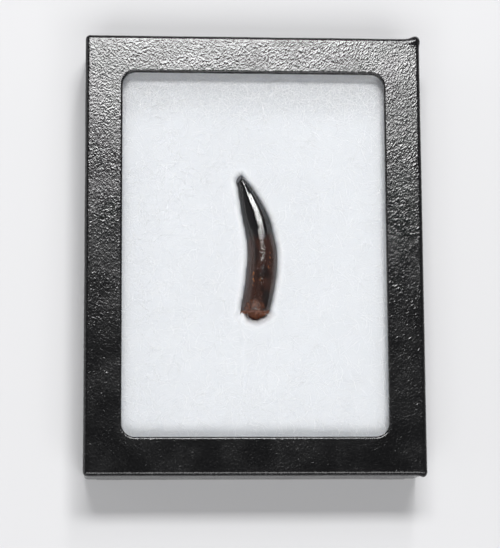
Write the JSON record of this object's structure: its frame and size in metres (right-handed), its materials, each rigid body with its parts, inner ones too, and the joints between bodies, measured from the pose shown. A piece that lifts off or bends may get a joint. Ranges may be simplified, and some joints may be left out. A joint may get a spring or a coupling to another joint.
{
  "type": "fossil crocodilian tooth in a glass-topped display case",
  "caption": "Curved conical fossil crocodilian tooth, glossy black crown and brown broken root, lying on white batting in a flat black paper-covered case with a glass window.",
  "frame": {"origin": "middle of the flat back of the case, on the surface it lies on", "axes": "+Z out of the glass window, +Y along the case towards the tooth's tip, +X to the right as the window is looked at"},
  "size_m": [0.0826, 0.108, 0.019],
  "materials": {
    "black_grained_paper": "satin",
    "black_plain_paper": "matte",
    "clear_glass": "polished",
    "white_batting": "matte",
    "fossil_tooth": "gloss"
  },
  "bodies": {
    "root": {"lid": "black_grained_paper", "base_tray": "black_plain_paper", "glass": "clear_glass", "batting": "white_batting", "tooth": "fossil_tooth"}
  },
  "joints": []
}
